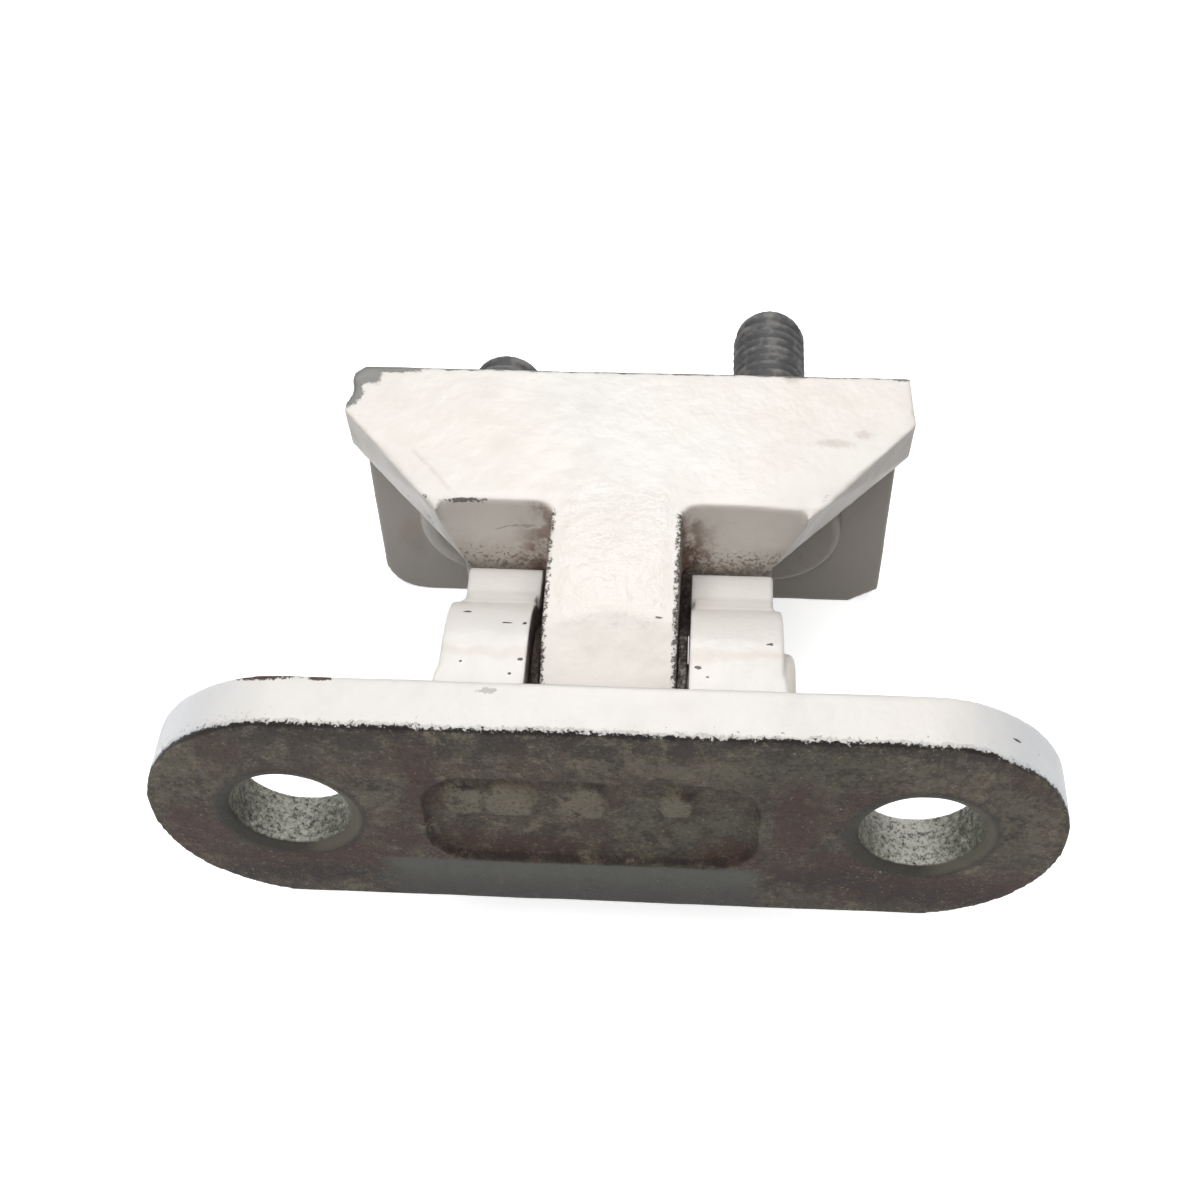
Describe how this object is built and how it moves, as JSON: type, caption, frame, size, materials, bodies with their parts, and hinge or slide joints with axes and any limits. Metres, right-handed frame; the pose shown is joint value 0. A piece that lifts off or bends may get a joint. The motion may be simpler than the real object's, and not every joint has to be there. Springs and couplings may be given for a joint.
{
  "type": "heavy duty leaf hinge",
  "caption": "Forged door hinge: a bolted flange with a clevis and stop lugs, and a T-shaped leaf with a tongue and threaded studs, joined by a pressed pin.",
  "frame": {"origin": "centre of the pillar leaf's mounting face, midway between its two bolt holes", "axes": "+X along the hinge pin towards its head, +Y out of the mounting face towards the stud leaf, +Z towards the stud leaf's flat top"},
  "size_m": [0.08, 0.0719, 0.0316],
  "materials": {
    "painted_forging": "worn semi-gloss warm white paint over forged steel, bare on the mounting face",
    "pin_steel": "ground, dulled",
    "bush_bronze": "grey sintered bronze, oily and dusty",
    "stud_steel": "dark phosphated steel"
  },
  "bodies": {
    "pillar_side": {"pillar_leaf": "painted_forging", "hinge_pin": "pin_steel"},
    "door_side": {"stud_leaf": "painted_forging", "bush_left": "bush_bronze", "bush_right": "bush_bronze", "stud_long": "stud_steel", "stud_short": "stud_steel"}
  },
  "joints": [
    {"name": "hinge_swing", "type": "hinge", "parent": "pillar_side", "child": "door_side", "pos_m": [0, 0.013, 0], "axis": [1, 0, 0], "range_deg": [0, 56]}
  ]
}
